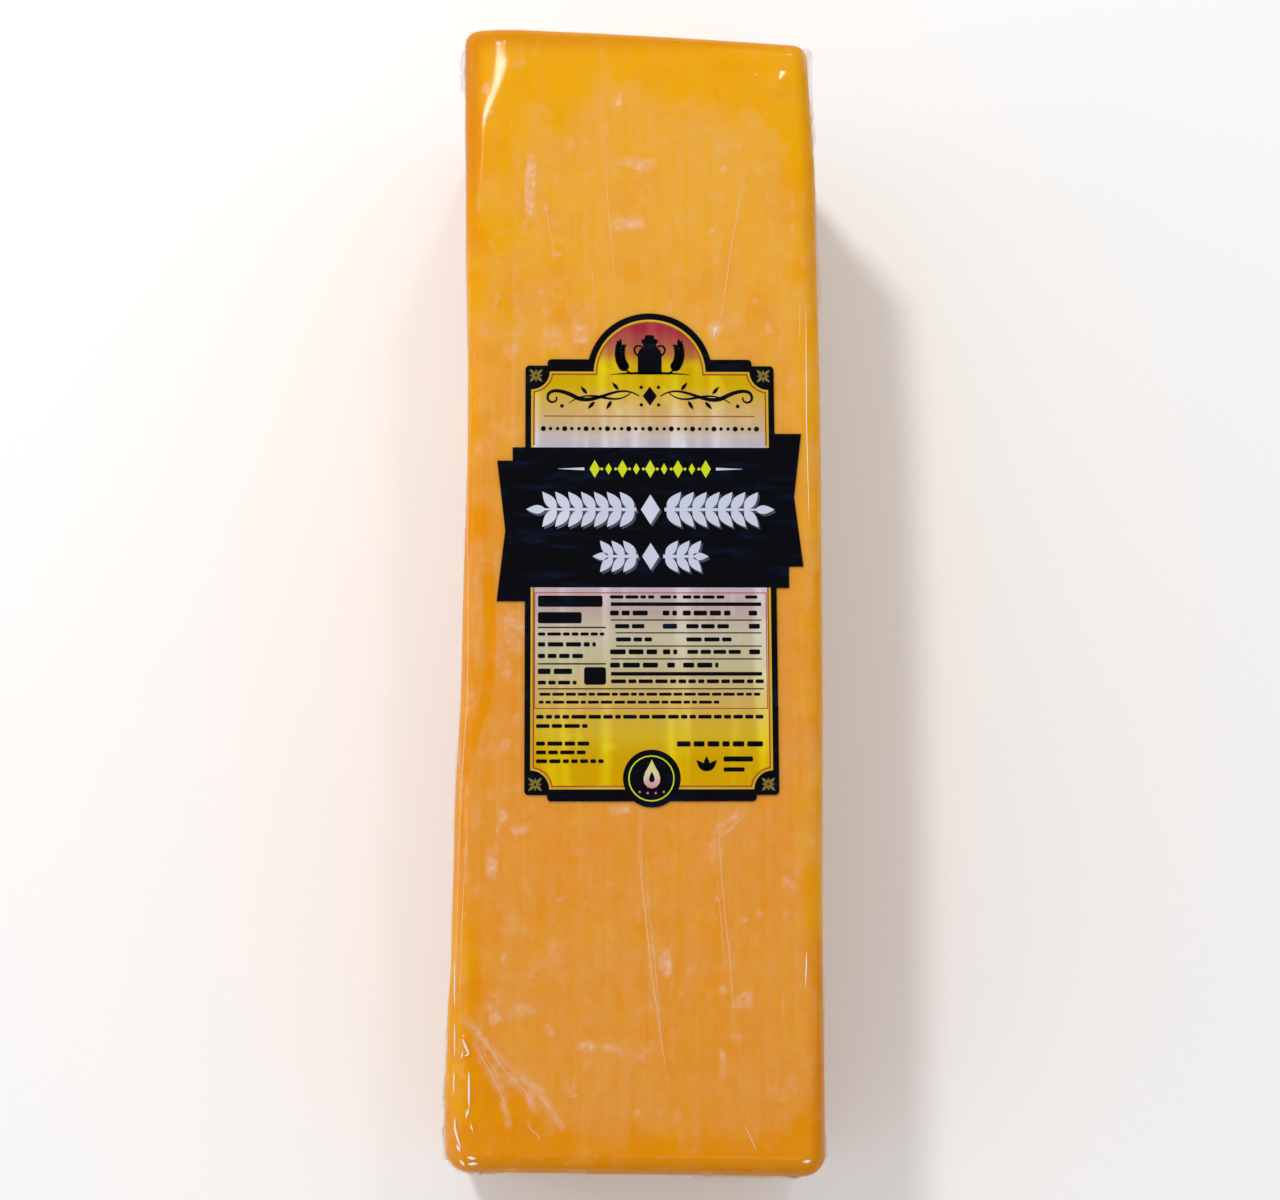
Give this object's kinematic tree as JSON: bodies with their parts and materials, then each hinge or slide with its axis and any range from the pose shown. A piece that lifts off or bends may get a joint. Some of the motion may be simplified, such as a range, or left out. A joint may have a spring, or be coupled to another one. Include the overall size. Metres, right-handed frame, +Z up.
{
  "type": "cheddar block",
  "caption": "Long square loaf of orange cheddar sealed in a clear shrunk film bag, with a printed label on its top face.",
  "frame": {"origin": "under the middle of the sealed bag's box, on the surface it lies on", "axes": "+X across the loaf, +Y along it towards the end with the long film ear, +Z up through the labelled face"},
  "size_m": [0.091, 0.2834, 0.0867],
  "materials": {
    "cheddar_in_film": "orange cheddar behind clear, tight, glossy film",
    "label_black": "black ink printed on film, glossy",
    "label_pale_yellow": "ink on film, from red in the arch through yellow to cream",
    "label_yellow": "yellow ink printed on film, glossy"
  },
  "bodies": {
    "root": {"sealed_bag": "cheddar_in_film", "label_frame": "label_black", "label_upper_field": "label_pale_yellow", "label_lower_field": "label_yellow"}
  },
  "joints": []
}
